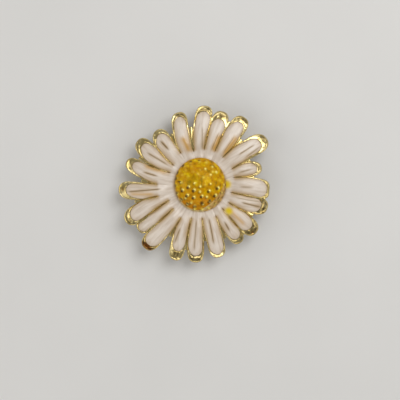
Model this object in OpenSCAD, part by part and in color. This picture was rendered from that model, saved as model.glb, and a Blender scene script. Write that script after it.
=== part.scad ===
// A daisy brooch: a gold casting of twenty petals with white enamel in their beds,
// a beaded gold dome under yellow enamel, and a bar pin soldered across the back.
// The flower faces +Z and the brooch rests on the two feet of its pin, at z = 0.

/* [Flower] */
// Middle of the flower, to the right of the origin
flower_x = 1.49; // [0:0.01:3]
// Middle of the flower, along Y from the origin
flower_y = -0.15; // [-1:0.01:1]
// Height of the casting's flat back above the surface that the brooch lies on
back_z = 4.6; // [4.2:0.1:6]
// Thickness of the casting's plate under the enamel and the dome
plate_t = 1.3; // [1:0.1:2]
// Radius of the round plate that the petals grow from
plate_r = 9.4; // [8.8:0.1:10]

/* [Petals] */
// Depth of the bed that holds the enamel
bed_depth = 0.4; // [0.3:0.05:0.6]
// How far a petal rises from the dome towards its middle
petal_rise = 0.5; // [0.2:0.05:1]
// How far a petal's tip bends down below its middle
petal_droop = 1.7; // [0.8:0.1:2.2]
// How far a petal's rim lies below its ridge
petal_crown = 0.5; // [0.3:0.05:0.8]
// Thickness of a petal near its tip
petal_t = 1.5; // [1.2:0.1:2]
// Length of a petal's rounded end
tip_len = 3.1; // [2.6:0.1:3.6]
// Width of the gold rim along a petal's sides
rim_w = 0.34; // [0.3:0.02:0.6]
// How far the enamel swells above the rim
enamel_swell = 0.16; // [0.05:0.01:0.3]
// Height of the vein cast along the floor of each bed
vein_h = 0.24; // [0.1:0.02:0.3]
// Width of the vein at its foot
vein_w = 0.6; // [0.4:0.05:0.9]

/* [Dome] */
// Radius of the collar round the dome
collar_r = 6.85; // [6.7:0.05:7]
// Height of the collar above the plate
collar_h = 0.75; // [0.6:0.05:1]
// Radius of the dome where it leaves the collar
dome_r = 6.4; // [6.2:0.05:6.5]
// Height of the dome above the collar
dome_h = 4.1; // [3.5:0.1:5]
// Radius of one bead
bead_r = 0.4; // [0.34:0.02:0.46]
// Distance from one bead to the next over the dome
bead_pitch = 1.86; // [1.7:0.02:2.1]
// Thickness of the yellow enamel between the beads
glaze_t = 0.24; // [0.18:0.02:0.3]

/* [Bar pin] */
// Length of the bar between the middles of its round ends
bar_len = 20; // [18:0.5:22]
// Width of the bar and of its feet
bar_w = 5; // [4:0.1:6]
// Thickness of the bar
bar_t = 0.8; // [0.6:0.1:1]
// Length of each foot along the bar
foot_len = 3.6; // [3:0.1:4.5]
// Diameter of the pin's stem
stem_d = 1; // [0.8:0.1:1.2]
// Height of the stem's middle above the surface
stem_z = 1.9; // [1.7:0.1:2.2]
// Length of the stem's sharp end
point_len = 2.2; // [1.8:0.1:3]

/* [Hidden] */

gap = 0.03;
open_top = 3;
plate_top = back_z + plate_t;
root_top = plate_top + bed_depth;

// columns of the petal table
tip_angle = 0;
reach = 1;
width = 2;
root_width = 3;
sway = 4;
level = 5;
gold_tip = 6;
bluntness = 7;
notch = 8;
vein = 9;

// One row for each petal, clockwise from the right: the angle of its tip, its reach from the
// flower's middle, its width, its width near the dome, the angle its root is turned on from the
// tip, its height over its neighbours, the bare gold at its tip, how square its end is, how far
// out the gap to the next petal begins, and where its vein runs between its edges, -1 and 1
petals = [
    [-4.5, 17.8, 5.1, 4.4, 3.0, 0.20, 0.7, 3.2, 17.0, 0.10],
    [-19.5, 18.3, 4.5, 3.3, -3.5, -0.30, 1.3, 2.4, 15.7, -0.10],
    [-40.5, 18.9, 4.4, 2.9, 0.5, 0.10, 2.0, 2.4, 17.0, -0.25],
    [-55.0, 18.1, 3.9, 3.2, -0.3, -0.15, 1.4, 2.4, 15.2, -0.15],
    [-75.0, 19.2, 4.3, 4.2, 0.4, 0.10, 0.9, 2.4, 14.4, -0.30],
    [-93.4, 19.9, 4.3, 3.2, -1.6, 0.00, 1.8, 2.4, 17.0, 0.00],
    [-108.9, 20.3, 3.9, 2.9, -3.6, -0.10, 2.5, 2.5, 15.3, 0.00],
    [-131.0, 21.5, 4.5, 3.4, 2.0, 0.15, 1.4, 2.3, 18.2, 0.10],
    [-143.6, 19.6, 3.8, 3.0, -1.5, -0.30, 0.5, 2.8, 18.6, -0.20],
    [-154.4, 21.2, 4.6, 2.5, -4.4, 0.20, 1.9, 2.2, 17.2, 0.30],
    [-176.0, 20.8, 4.6, 3.3, 4.6, 0.00, 2.0, 2.3, 15.0, 0.00],
    [163.4, 19.7, 4.0, 4.0, 6.9, 0.10, 1.9, 2.2, 17.0, 0.00],
    [145.6, 19.5, 4.5, 2.8, 5.3, 0.00, 1.8, 2.3, 15.9, -0.15],
    [129.3, 17.8, 4.5, 4.0, 3.4, -0.10, 1.4, 2.2, 14.9, 0.00],
    [107.3, 19.3, 4.2, 3.4, 4.7, 0.10, 1.3, 2.5, 14.9, -0.40],
    [86.4, 20.2, 4.4, 3.0, 3.9, 0.15, 1.6, 2.5, 17.4, -0.10],
    [72.5, 19.6, 4.2, 3.3, 2.0, -0.20, 2.2, 2.5, 17.7, -0.25],
    [56.5, 20.6, 4.5, 3.0, 1.0, 0.05, 1.8, 2.4, 15.6, -0.30],
    [34.9, 20.7, 5.0, 4.3, 3.3, 0.15, 2.0, 2.2, 14.2, 0.00],
    [16.2, 16.4, 3.9, 2.6, 3.0, -0.10, 1.3, 2.2, 13.9, 0.00],
];

// where along a petal its width and height are worked out
root_r = 6;
widen_r = 9;
turn_r = 9;
arch_r = 11;
bed_start_r = 7.9;
rim_start_r = 8.38;
rim_full_r = 10.2;

// how far round its rounded end each section of a tip lies
tip_turns = [0, 30, 52, 70, 84];
bed_turns = [0, 35, 62, 84];

// how sharply a petal's surface falls to its sides, and how square the end of its bed is
crown_power = 2.4;
bed_bluntness = 2.3;

// The shape of a petal
function mix(a, b, t) = a + (b - a) * t;
function part_of(r, from, to) = max(0, min(1, (r - from) / (to - from)));
function ease(t) = t * t * (3 - 2 * t);

function petal_angle(p, r) = p[tip_angle] + p[sway] * (1 - ease(part_of(r, turn_r, p[reach])));
function round_end(s, length, power) = pow(1 - pow(1 - max(0, min(1, s / length)), power), 1 / power);
function petal_half(p, r) =
    mix(p[root_width], p[width], sin(90 * part_of(r, widen_r, p[reach] - tip_len))) / 2
    * round_end(p[reach] - r, tip_len, p[bluntness]);
function ridge_z(p, r) =
    root_top + petal_rise * ease(part_of(r, bed_start_r, arch_r))
    - petal_droop * pow(part_of(r, arch_r, p[reach]), 2)
    + p[level] * ease(part_of(r, rim_start_r, arch_r + 2));
function surface_z(p, r, v) =
    ridge_z(p, r) - petal_crown * ease(part_of(r, root_r, arch_r)) * pow(abs(v), crown_power);
function under_z(p, r) = min(back_z, ridge_z(p, r) - petal_t);
function petal_point(p, r, side, z) =
    let (a = petal_angle(p, r))
    [r * cos(a) - side * sin(a), r * sin(a) + side * cos(a), z];

// A solid through rings of points, with flat ends
function ring_faces(n, rings) = concat(
    [[for (k = [0:n - 1]) k]],
    [for (j = [0:rings - 2], k = [0:n - 1])
        let (next = (k + 1) % n)
        each [[j * n + k, (j + 1) * n + k, (j + 1) * n + next],
              [j * n + k, (j + 1) * n + next, j * n + next]]],
    [[for (k = [n - 1:-1:0]) (rings - 1) * n + k]]
);
module loft(rings) {
    polyhedron(points = [for (ring = rings) each ring], faces = ring_faces(len(rings[0]), len(rings)));
}

// The gold petal, with a rounded shoulder and a chamfer along its underside
across = [1, 0.86, 0.45, 0, -0.45, -0.86, -1];
shoulder_drop = 0.16;
under_width = 0.82;
chamfer_part = 0.45;
function petal_ring(p, r) =
    let (half = petal_half(p, r), low = under_z(p, r), side_z = mix(low, surface_z(p, r, 1), chamfer_part))
    concat(
        [petal_point(p, r, under_width * half, low), petal_point(p, r, half, side_z)],
        [for (v = across)
            petal_point(p, r, v * half, surface_z(p, r, v) - (abs(v) == 1 ? shoulder_drop : 0))],
        [petal_point(p, r, -half, side_z), petal_point(p, r, -under_width * half, low)]
    );
function petal_stations(p) = concat(
    [root_r, widen_r, arch_r, mix(arch_r, p[reach] - tip_len, 0.5)],
    [for (a = tip_turns) p[reach] - tip_len * (1 - sin(a))]
);
module petal(p) {
    loft([for (r = petal_stations(p)) petal_ring(p, r)]);
}

// The enamel's bed in a petal: inset from the sides by the rim, and from the end by the bare tip
bed_min_half = 0.05;
bed_side_drop = 0.12;
bed_lip = 0.04;
function bed_reach(p) = p[reach] - p[gold_tip];
function bed_end(p) = min(0.8 * tip_len, 0.5 * (bed_reach(p) - arch_r));
function bed_half(p, r) =
    (petal_half(p, min(r, p[reach] - 1.2)) - rim_w * part_of(r, bed_start_r, rim_full_r))
    * round_end(bed_reach(p) - r, bed_end(p), bed_bluntness);
function bed_stations(p, inset) =
    let (straight_r = bed_reach(p) - bed_end(p))
    concat(
        [bed_start_r + inset],
        [for (t = [0, 0.35, 0.7]) mix(rim_full_r, straight_r, t)],
        [for (a = bed_turns) bed_reach(p) - bed_end(p) * (1 - sin(a))]
    );
// the vein rises where the rims are full and sinks before the bed's end
function vein_rise(p, r) = part_of(r, rim_full_r, rim_full_r + 1) * part_of(bed_reach(p) - r, 0.6, 1.6);
// the inset leaves a gap all round what fills the bed, and a wider one under its rounded end
function bed_ring(p, r, inset, top) =
    let (
        half = max(bed_min_half, bed_half(p, r) - inset),
        line = p[vein] * half,
        foot = min(vein_w / 2, 0.3 * half),
        round_part = part_of(r, bed_reach(p) - bed_end(p), bed_reach(p)),
        at_r = r - inset * round_part,
        floor_z = surface_z(p, r, 0) - bed_depth + inset * (1 + 3 * round_part)
    )
    concat(
        [petal_point(p, at_r, -half, floor_z - bed_side_drop),
         petal_point(p, at_r, line - foot, floor_z),
         petal_point(p, at_r, line, floor_z + vein_h * vein_rise(p, r)),
         petal_point(p, at_r, line + foot, floor_z),
         petal_point(p, at_r, half, floor_z - bed_side_drop)],
        [for (v = [1, 0.6, p[vein], -0.6, -1])
            let (edge_z = surface_z(p, r, min(1, abs(v) * half / (petal_half(p, r) + bed_min_half))))
            petal_point(p, at_r, v * half, edge_z - bed_lip + top * (1 - 0.8 * pow(v, 2)))]
    );
module bed(p, inset, top) {
    loft([for (r = bed_stations(p, inset)) bed_ring(p, r, inset, top)]);
}

// The gold web between a petal and the next one round
function facing_angle(p, q, r) =
    let (
        near = petal_angle(p, r) - petal_half(p, r) / r * 180 / PI,
        far = petal_angle(q, r) + petal_half(q, r) / r * 180 / PI,
        turn = (near - far + 540) % 360 - 180
    )
    near - turn / 2;
module between(p, q, r, z) {
    rotate(facing_angle(p, q, r)) translate([r, 0, z]) children();
}
web_h = 0.5;
web_end_r = 0.35;
module web(p, q) {
    hull() {
        between(p, q, plate_r - 1, back_z) cylinder(h = plate_t, r = 1, $fn = 10);
        between(p, q, p[notch] - web_end_r, back_z) cylinder(h = web_h, r = web_end_r, $fn = 10);
    }
}

// The bed's corner between the roots of two petals
corner_near_r = 0.56;
corner_far_r = 0.28;
module corner(p, q, inset, height) {
    low = plate_top + inset;
    hull() {
        between(p, q, rim_start_r - corner_near_r, low) cylinder(h = height, r = corner_near_r - inset, $fn = 6);
        between(p, q, rim_start_r + corner_far_r, low) cylinder(h = height, r = corner_far_r - inset, $fn = 6);
    }
}

module at_flower() {
    translate([flower_x, flower_y, 0]) children();
}

module flower_casting() {
    color([0.83, 0.69, 0.36]) at_flower() {
        difference() {
            union() {
                translate([0, 0, back_z]) cylinder(h = plate_t, r = plate_r, $fn = 48);
                for (i = [0:len(petals) - 1]) {
                    petal(petals[i]);
                    web(petals[i], petals[(i + 1) % len(petals)]);
                }
            }
            translate([0, 0, plate_top]) cylinder(h = open_top, r = rim_start_r, $fn = 48);
            for (i = [0:len(petals) - 1]) {
                bed(petals[i], 0, open_top);
                corner(petals[i], petals[(i + 1) % len(petals)], 0, open_top);
            }
        }
    }
}

module white_enamel() {
    color([0.93, 0.90, 0.87]) at_flower() {
        difference() {
            union() {
                translate([0, 0, plate_top + gap]) cylinder(
                    h = bed_depth + enamel_swell - gap, r1 = rim_start_r - gap, r2 = rim_start_r - 0.2, $fn = 48
                );
                for (i = [0:len(petals) - 1]) {
                    bed(petals[i], gap, enamel_swell);
                    corner(petals[i], petals[(i + 1) % len(petals)], gap, bed_depth - bed_lip);
                }
            }
            translate([0, 0, back_z]) cylinder(h = open_top, r = collar_r + gap, $fn = 48);
        }
    }
}

// The dome: beads in rings over a cap of a sphere
ball_r = (pow(dome_r, 2) + pow(dome_h, 2)) / (2 * dome_h);
collar_top = plate_top + gap + collar_h;
ball_z = collar_top + dome_h - ball_r;
ring_turn = bead_pitch / ball_r * 180 / PI;
edge_turn = acos((ball_r - dome_h) / ball_r);
collar_turn = 4;
bead_rings = floor((edge_turn - collar_turn) / ring_turn);

module beads(grow) {
    for (k = [0:bead_rings]) {
        ring_radius = ball_r * sin(k * ring_turn);
        count = max(1, round(2 * PI * ring_radius / bead_pitch));
        for (j = [0:count - 1])
            rotate(360 / count * (j + 0.5 * (k % 2)))
                translate([ring_radius, 0, ball_z + ball_r * cos(k * ring_turn)])
                    sphere(r = bead_r + grow, $fn = 24);
    }
}
module cap(r) {
    intersection() {
        translate([0, 0, ball_z]) sphere(r = r, $fn = 64);
        translate([0, 0, collar_top]) cylinder(h = 2 * dome_h, r = collar_r, $fn = 64);
    }
}

module centre_dome() {
    color([0.85, 0.70, 0.34]) at_flower() {
        translate([0, 0, plate_top + gap]) cylinder(h = collar_h, r = collar_r, $fn = 64);
        cap(ball_r);
        beads(0);
    }
}

module yellow_enamel() {
    color([0.90, 0.62, 0.05]) at_flower() {
        difference() {
            translate([0, 0, gap]) cap(ball_r + glaze_t);
            translate([0, 0, ball_z]) sphere(r = ball_r + gap, $fn = 64);
            beads(gap);
        }
    }
}

// The bar pin, in line with the X axis under the brooch's balance point
bar_x = 0.9;
bar_y = -0.2;
bar_top = back_z - gap;
foot_x = bar_len / 2;
stem_past = foot_len / 2;
foot_bevel = 0.3;
foot_flare = 0.5;
rivet_d = 1.4;
rivet_past = 0.3;
slot_play = 0.3;
point_d = 0.2;

// a foot's outline from the side, flared where it meets the bar
module foot(x) {
    bar_low = bar_top - bar_t / 2;
    half = foot_len / 2;
    right_side = [[half - foot_bevel, 0], [half, foot_bevel], [half, bar_low - 0.8], [half + foot_flare, bar_low]];
    left_side = [for (k = [3:-1:0]) [-right_side[k][0], right_side[k][1]]];
    translate([x, bar_w / 2, 0]) rotate([90, 0, 0]) linear_extrude(bar_w) polygon(concat(right_side, left_side));
}

module pin_back() {
    color([0.78, 0.66, 0.40]) translate([bar_x, bar_y, 0]) {
        translate([0, 0, bar_top - bar_t]) {
            translate([-bar_len / 2, -bar_w / 2, 0]) cube([bar_len, bar_w, bar_t]);
            for (side = [-1, 1]) translate([side * bar_len / 2, 0, 0]) cylinder(h = bar_t, d = bar_w, $fn = 32);
        }
        foot(-foot_x);
        difference() {
            foot(foot_x);
            translate([foot_x - foot_len, 0, stem_z - stem_d / 2]) cube([2 * foot_len, bar_w, stem_d + slot_play]);
        }
        translate([-foot_x, 0, stem_z]) rotate([0, 90, 0])
            cylinder(h = 2 * foot_x + stem_past, d = stem_d, $fn = 32);
        translate([foot_x + stem_past, 0, stem_z]) rotate([0, 90, 0])
            cylinder(h = point_len, d1 = stem_d, d2 = point_d, $fn = 32);
        translate([-foot_x, -bar_w / 2 - rivet_past, stem_z]) rotate([-90, 0, 0])
            cylinder(h = bar_w + 2 * rivet_past, d = rivet_d, $fn = 32);
    }
}

flower_casting();
white_enamel();
centre_dome();
yellow_enamel();
pin_back();
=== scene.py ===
# A daisy brooch: a gold-plated casting of twenty petals, white enamel in their beds, a beaded
# dome under yellow enamel, and a bar pin across the back. Lengths are in mm and made metres by mm.
from math import atan2, cos, exp, hypot, pi, radians, sin, sqrt, tan

import bpy
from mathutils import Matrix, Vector, noise


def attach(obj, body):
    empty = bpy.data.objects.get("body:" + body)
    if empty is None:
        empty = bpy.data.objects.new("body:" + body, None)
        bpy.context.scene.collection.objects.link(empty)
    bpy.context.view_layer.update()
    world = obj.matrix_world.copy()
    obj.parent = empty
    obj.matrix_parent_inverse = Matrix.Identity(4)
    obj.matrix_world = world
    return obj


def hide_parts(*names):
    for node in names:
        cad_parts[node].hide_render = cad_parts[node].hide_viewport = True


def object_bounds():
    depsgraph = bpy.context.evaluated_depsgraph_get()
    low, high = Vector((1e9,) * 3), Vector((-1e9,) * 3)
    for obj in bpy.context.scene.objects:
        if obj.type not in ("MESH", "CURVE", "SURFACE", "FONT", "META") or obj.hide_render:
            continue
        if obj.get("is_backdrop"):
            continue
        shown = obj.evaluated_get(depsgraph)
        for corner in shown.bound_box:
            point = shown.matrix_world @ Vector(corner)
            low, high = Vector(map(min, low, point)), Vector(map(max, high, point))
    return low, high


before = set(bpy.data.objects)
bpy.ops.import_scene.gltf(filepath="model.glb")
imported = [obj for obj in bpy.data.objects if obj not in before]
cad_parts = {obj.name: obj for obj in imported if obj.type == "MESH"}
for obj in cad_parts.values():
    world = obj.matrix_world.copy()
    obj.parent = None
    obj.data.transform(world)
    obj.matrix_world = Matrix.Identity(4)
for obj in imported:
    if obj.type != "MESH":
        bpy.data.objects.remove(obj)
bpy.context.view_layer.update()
mm = 0.001
flowerX, flowerY = 1.49, -0.15  # the flower's middle
domeNarrow = 0.957  # the dome's width as a part of its height, seen from above

# One row a petal, clockwise from the right. Angles in degrees, lengths in mm.
petalColumns = ["tipAngle", "reach", "width", "rootWidth", "sway", "level", "bareTip", "bluntness",
                "notch", "cup", "split", "rim"]
petalRows = [
    (-4.5, 17.8, 5.1, 4.4, 3.0, 0.20, 0.7, 3.2, 17.0, 0.1, 7.7, 0.30),
    (-19.5, 18.3, 4.5, 3.3, -3.5, -0.30, 1.8, 2.4, 15.7, 0.9, 8.1, 0.36),
    (-40.5, 18.9, 4.4, 2.9, 0.5, 0.10, 2.0, 2.4, 17.0, 0.8, 7.8, 0.40),
    (-55.0, 18.1, 3.9, 3.2, -0.3, -0.15, 1.4, 2.4, 15.2, 0.5, 8.4, 0.40),
    (-75.0, 19.2, 4.3, 4.2, 0.4, 0.10, 0.9, 2.4, 14.4, 0.2, 8.0, 0.32),
    (-93.4, 19.9, 4.3, 3.2, -1.6, 0.00, 1.8, 2.4, 17.0, 0.8, 8.2, 0.44),
    (-108.9, 20.3, 3.9, 2.9, -3.6, -0.10, 2.5, 2.5, 15.3, 0.3, 9.2, 0.44),
    (-131.0, 21.5, 4.5, 3.4, 2.0, 0.15, 1.4, 2.3, 18.2, 1.0, 8.6, 0.28),
    (-143.6, 19.6, 3.8, 3.0, -1.5, -0.30, 0.4, 2.8, 18.6, 0.0, 8.3, 0.13),
    (-154.4, 21.2, 4.6, 2.5, -4.4, 0.20, 1.9, 2.2, 17.2, 0.8, 10.4, 0.34),
    (-176.0, 20.8, 4.6, 3.3, 4.6, 0.00, 2.0, 2.3, 15.0, 0.5, 10.3, 0.50),
    (163.4, 19.7, 4.0, 4.0, 6.9, 0.10, 1.9, 2.2, 17.0, -0.2, 7.7, 0.46),
    (145.6, 19.5, 4.5, 2.8, 5.3, 0.00, 1.8, 2.3, 15.9, 0.3, 7.8, 0.58),
    (129.3, 17.8, 4.5, 4.0, 3.4, -0.10, 1.4, 2.2, 14.9, 0.2, 8.8, 0.54),
    (107.3, 19.3, 4.2, 3.4, 4.7, 0.10, 1.3, 2.5, 14.9, 0.7, 8.2, 0.50),
    (86.4, 20.2, 4.4, 3.0, 3.9, 0.15, 1.6, 2.5, 17.4, 0.8, 8.5, 0.42),
    (72.5, 19.6, 4.2, 3.3, 2.0, -0.20, 2.2, 2.5, 17.7, -0.3, 8.8, 0.54),
    (56.5, 20.6, 4.5, 3.0, 1.0, 0.05, 1.8, 2.4, 15.6, -0.2, 8.6, 0.50),
    (34.9, 20.7, 5.0, 4.3, 3.3, 0.15, 2.0, 2.2, 14.2, -0.4, 8.6, 0.54),
    (16.2, 16.4, 3.9, 2.6, 3.0, -0.10, 1.3, 2.2, 13.9, 0.3, 8.4, 0.40),
]
petals = [dict(zip(petalColumns, row), place=k) for k, row in enumerate(petalRows)]

# The form that all petals share. A name that ends in R is a distance from the flower's middle.
shape = {
    "backZ": 4.6, "plateTop": 5.9, "rootTop": 6.3, "thick": 1.5,
    "rise": 0.5, "riseR": 7.9, "archR": 11.0, "droop": 1.7, "levelR": (8.4, 13.0),
    "crown": 0.34, "crownPower": 2.4, "crownR": (7.6, 12.5), "widenR": 9.0, "turnR": 9.0,
    "squareR": (10.6, 13.2),  # where rows turn from arcs to straight lines
    "tipLen": 3.1, "joinRun": 1.5, "roomTurn": (2.0, 30.0),
    "rimThin": (0.09, 0.17), "rimThinR": (8.5, 12.0), "rimRun": 1.3, "rimGrow": (-2.4, 0.6),
    "bedBluntness": 2.3, "bedDepth": 0.42, "bedHollow": 0.12, "bedEnd": (0.8, 0.5),
    "bedLeast": 0.3, "bedStop": 1.2, "insetRun": 0.3,
}
# The collar round the dome: the direction of its bare side and how far from there it is covered,
# and the white enamel's inner edge where the collar is covered and where it is bare.
collarEdge = {"bareTurn": -65, "bareFade": (60, 95), "enamelR": (6.74, 6.85)}


def clamp(t):
    return max(0.0, min(1.0, t))


def mix(a, b, t):
    return a + (b - a) * t


def partOf(r, start, end):
    return clamp((r - start) / (end - start))


def ease(t):
    return t * t * (3 - 2 * t)


def bell(t, power=2):
    return exp(-t ** power)


def sideOf(offset):
    return 1 if offset >= 0 else -1


def shortDegrees(turn):
    return (turn + 540) % 360 - 180


def shortRadians(turn):
    return (turn + pi) % (2 * pi) - pi


# The next petal anticlockwise for side 1, clockwise for side -1.
def neighbour(petal, side):
    return petals[(petal["place"] - side) % len(petals)]


# Where a petal parts from its neighbour: "split" for the enamel, "notch" for the gold.
def partingR(petal, side, kind):
    return (petal if side < 0 else neighbour(petal, 1))[kind]


def petalAngle(petal, r):
    return petal["tipAngle"] + petal["sway"] * (1 - ease(partOf(r, shape["turnR"], petal["reach"])))


def roundEnd(left, length, power):
    return (1 - (1 - clamp(left / length)) ** power) ** (1 / power)


def tipPart(petal, r):
    return partOf(r, petal["reach"] - shape["tipLen"], petal["reach"])


def fullHalf(petal, r):
    grown = sin(radians(90 * partOf(r, shape["widenR"], petal["reach"] - shape["tipLen"])))
    return mix(petal["rootWidth"], petal["width"], grown) / 2


def petalHalf(petal, r):
    return fullHalf(petal, r) * roundEnd(petal["reach"] - r, shape["tipLen"], petal["bluntness"])


# The direction halfway between a petal's edge and the edge of the one that follows it.
def facingAngle(petal, following, r):
    near = petalAngle(petal, r) - petalHalf(petal, r) / r * 180 / pi
    far = petalAngle(following, r) + petalHalf(following, r) / r * 180 / pi
    return near - shortDegrees(near - far) / 2


roomKnown = {}


# How far from its middle line a petal may go before it meets its neighbour.
def sideRoom(petal, side, r):
    key = (petal["place"], side, round(r, 4))
    if key not in roomKnown:
        other = neighbour(petal, side)
        pair = (other, petal) if side > 0 else (petal, other)
        turn = shortDegrees((facingAngle(*pair, r) - petalAngle(petal, r)) * side)
        least, most = shape["roomTurn"]
        roomKnown[key] = r * tan(radians(max(least, min(most, turn))))
    return roomKnown[key]


def outerHalf(petal, side, r):
    return min(petalHalf(petal, r), sideRoom(petal, side, r))


# 0 on the petal's ridge and 1 on its outline, round its tip too.
def acrossPart(petal, offset, r):
    half = min(fullHalf(petal, r), sideRoom(petal, sideOf(offset), r))
    part, power = min(1.0, abs(offset) / half), petal["bluntness"]
    return min(1.0, (part ** power + tipPart(petal, r) ** power) ** (1 / power))


def ridgeZ(petal, r):
    return (shape["rootTop"] + shape["rise"] * ease(partOf(r, shape["riseR"], shape["archR"]))
            - shape["droop"] * partOf(r, shape["archR"], petal["reach"]) ** 2
            + petal["level"] * ease(partOf(r, *shape["levelR"])))


def surfaceZ(petal, r, across):
    fall = shape["crown"] * ease(partOf(r, *shape["crownR"]))
    return ridgeZ(petal, r) - fall * abs(across) ** shape["crownPower"]


# Height of the boundary with the neighbour, the same from both sides while they are joined.
def edgeZ(petal, side, r):
    own = surfaceZ(petal, r, 1)
    split = partingR(petal, side, "split")
    joined = 1 - ease(partOf(r, split, split + shape["joinRun"]))
    return mix(own, (own + surfaceZ(neighbour(petal, side), r, 1)) / 2, joined)


# Height of the petal's upper face, before the finer form of its gold or enamel.
def coverZ(petal, side, offset, r):
    across = acrossPart(petal, offset, r)
    own = surfaceZ(petal, r, across)
    return own + (edgeZ(petal, side, r) - surfaceZ(petal, r, 1)) * across ** 3


def bedReach(petal):
    return petal["reach"] - petal["bareTip"]


def bedEnd(petal):
    longest, part = shape["bedEnd"]
    return min(longest * shape["tipLen"], part * (bedReach(petal) - shape["archR"]))


# The rim is thin along a neighbour and has its full width beyond.
def bedHalf(petal, side, r, inset=0.0):
    start, free = partingR(petal, side, "split"), partingR(petal, side, "notch")
    rim = mix(*shape["rimThin"], partOf(r, *shape["rimThinR"]))
    rim = mix(rim, petal["rim"], ease(partOf(r, *(free + step for step in shape["rimGrow"]))))
    rim *= ease(partOf(r, start, start + shape["rimRun"]))
    insetHere = inset * partOf(r, start, start + shape["insetRun"])
    half = outerHalf(petal, side, min(r, petal["reach"] - shape["bedStop"])) - rim - insetHere
    end = roundEnd(bedReach(petal) - insetHere - r, bedEnd(petal), shape["bedBluntness"])
    return max(0.0, half) * end


# Half the bed's width, without the rounding of its end.
def openHalf(petal, side, r):
    return max(shape["bedLeast"], bedHalf(petal, side, min(r, bedReach(petal) - bedEnd(petal))))


# 0 in the middle of the bed and 1 on its edge, round its end too.
def bedAcross(petal, offset, r):
    past = partOf(r, bedReach(petal) - bedEnd(petal), bedReach(petal))
    part, power = abs(offset) / openHalf(petal, sideOf(offset), r), shape["bedBluntness"]
    return min(1.0, (part ** power + past ** power) ** (1 / power))


def floorZ(petal, offset, r):
    hollow = shape["bedHollow"] * bedAcross(petal, offset, r) ** 2
    return ridgeZ(petal, r) - shape["bedDepth"] - hollow


# How much of the dome's collar is bare in this direction: all at the lower right, none above.
def bareCollar(turn):
    away = abs(shortRadians(turn - radians(collarEdge["bareTurn"]))) * 180 / pi
    return 1 - ease(partOf(away, *collarEdge["bareFade"]))


# The inner edge of the white enamel. The dome is narrower from left to right than up and down.
def collarAt(turn):
    return mix(*collarEdge["enamelR"], bareCollar(turn)) / hypot(cos(turn) / domeNarrow, sin(turn))


# Waves on a petal, from about -1 to 1, at these scales along it and across it.
def waves(petal, r, offset, along, across, seed):
    return noise.noise(Vector((r * along, offset * across, petal["place"] * seed)))


# A point's place in mm from the flower's middle, and the point in metres at such a place.
def placeOf(point):
    return point.x / mm - flowerX, point.y / mm - flowerY, point.z / mm


def pointAt(x, y, z):
    return Vector(((flowerX + x) * mm, (flowerY + y) * mm, z * mm))


# The point at this distance along the petal and this offset from its middle line.
def spotAt(petal, r, offset, z):
    out = sqrt(r * r + ease(partOf(r, *shape["squareR"])) * offset * offset)
    turn = radians(petalAngle(petal, r)) + atan2(offset, r)
    return pointAt(out * cos(turn), out * sin(turn), z)


# Small helpers.
def objectMode():
    bpy.ops.object.mode_set(mode="OBJECT")


def deselectAll():
    if bpy.context.object and bpy.context.object.mode != "OBJECT":
        objectMode()
    bpy.ops.object.select_all(action="DESELECT")


def pick(piece):
    deselectAll()
    piece.select_set(True)
    bpy.context.view_layer.objects.active = piece


def editAll(piece):
    pick(piece)
    bpy.ops.object.mode_set(mode="EDIT")
    bpy.ops.mesh.select_all(action="SELECT")


# Adds a primitive with nothing else selected, and applies its place.
def addShape(primitive, **sizes):
    deselectAll()
    primitive(**sizes)
    bpy.ops.object.transform_apply(location=True)
    return bpy.context.object


def copyOf(piece, name):
    twin = piece.copy()
    twin.data = piece.data.copy()
    twin.name = name
    bpy.context.scene.collection.objects.link(twin)
    return twin


def joinInto(name, parts):
    pick(parts[0])
    for part in parts:
        part.select_set(True)
    bpy.ops.object.join()
    whole = bpy.context.object
    whole.name = whole.data.name = name
    return whole


# Both work in edit mode.
def mergeDoubles(distance):
    bpy.ops.mesh.remove_doubles(threshold=distance * mm)
    bpy.ops.mesh.dissolve_degenerate(threshold=0.0005 * mm)
    bpy.ops.mesh.select_all(action="SELECT")


def extrudeBy(x, y, z):
    bpy.ops.mesh.extrude_region_move(TRANSFORM_OT_translate={"value": (x, y, z)})


def pointOutwards(piece):
    editAll(piece)
    bpy.ops.mesh.normals_make_consistent(inside=False)
    objectMode()


def weld(piece):
    editAll(piece)
    mergeDoubles(0.002)
    pointOutwards(piece)


def combine(piece, tool, operation="UNION"):
    pick(piece)
    cutter = piece.modifiers.new("combine", "BOOLEAN")
    cutter.operation = operation
    cutter.object = tool
    cutter.solver = "MANIFOLD"
    bpy.ops.object.modifier_apply(modifier=cutter.name)
    bpy.data.objects.remove(tool)


# Leaves only the points, edges or faces that are wanted selected, in edit mode. What is wanted
# is told from the part and the places of its points in mm.
def chooseIn(piece, kind, wanted):
    deselectAll()
    layers = {"VERT": piece.data.vertices, "EDGE": piece.data.edges, "FACE": piece.data.polygons}
    bpy.context.tool_settings.mesh_select_mode = [kind == name for name in layers]
    for layer in layers.values():
        for part in layer:
            part.select = False
    for part in layers[kind]:
        spots = [piece.data.vertices[k].co / mm for k in getattr(part, "vertices", [part.index])]
        part.select = wanted(part, spots)
    pick(piece)
    bpy.ops.object.mode_set(mode="EDIT")


def bevelWhere(piece, wanted, offset, segments=5):
    chooseIn(piece, "EDGE", wanted)
    bpy.ops.mesh.bevel(offset=offset, segments=segments, affect="EDGES")
    objectMode()


def smoothBy(piece, degreesOf):
    pick(piece)
    bpy.ops.object.shade_smooth_by_angle(angle=radians(degreesOf))


# Gives each point of a piece the named values that a function works out for it.
def paint(piece, tonesAt):
    tones = [tonesAt(vertex) for vertex in piece.data.vertices]
    for name in tones[0]:
        layer = piece.data.attributes.new(name, "FLOAT", "POINT")
        layer.data.foreach_set("value", [row[name] for row in tones])


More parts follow.
